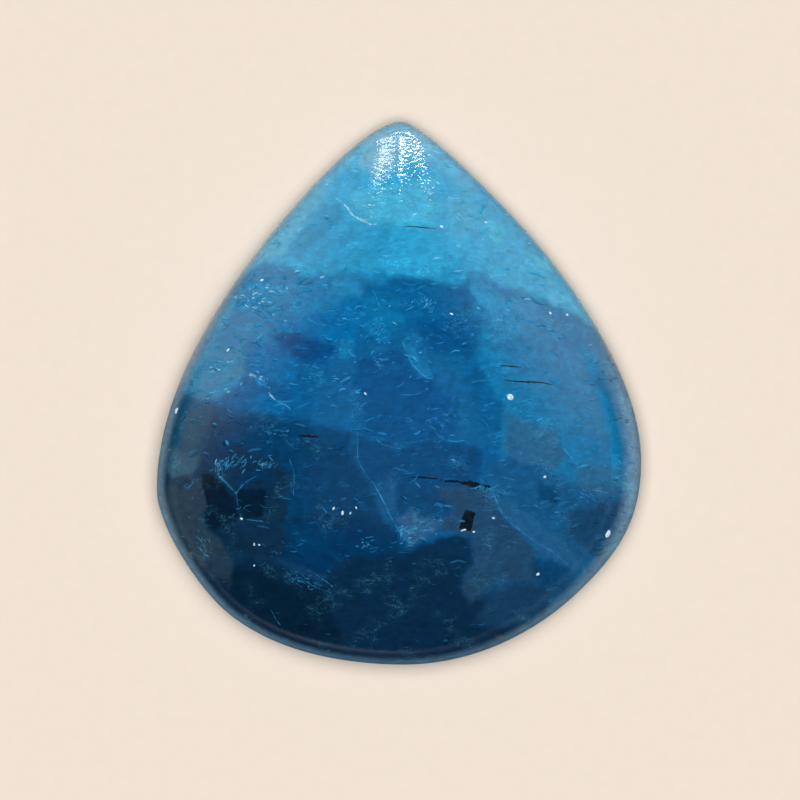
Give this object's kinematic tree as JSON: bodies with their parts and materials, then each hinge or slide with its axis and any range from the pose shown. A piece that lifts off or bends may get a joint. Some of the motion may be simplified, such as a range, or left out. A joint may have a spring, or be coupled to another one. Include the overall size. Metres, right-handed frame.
{
  "type": "apatite cabochon",
  "caption": "Pear-shaped polished cabochon of deep blue apatite, with a low dome, a soft rolled edge and a flat back to rest on or set in a mount.",
  "frame": {"origin": "on the flat back, at the middle of the stone's width and length", "axes": "+Z out of the dome, +Y from the broad end to the tip, +X to the right of the tip seen from above"},
  "size_m": [0.0312, 0.035, 0.008],
  "materials": {
    "blue_apatite": "polished"
  },
  "bodies": {
    "root": {"apatite_cabochon": "blue_apatite"}
  },
  "joints": []
}
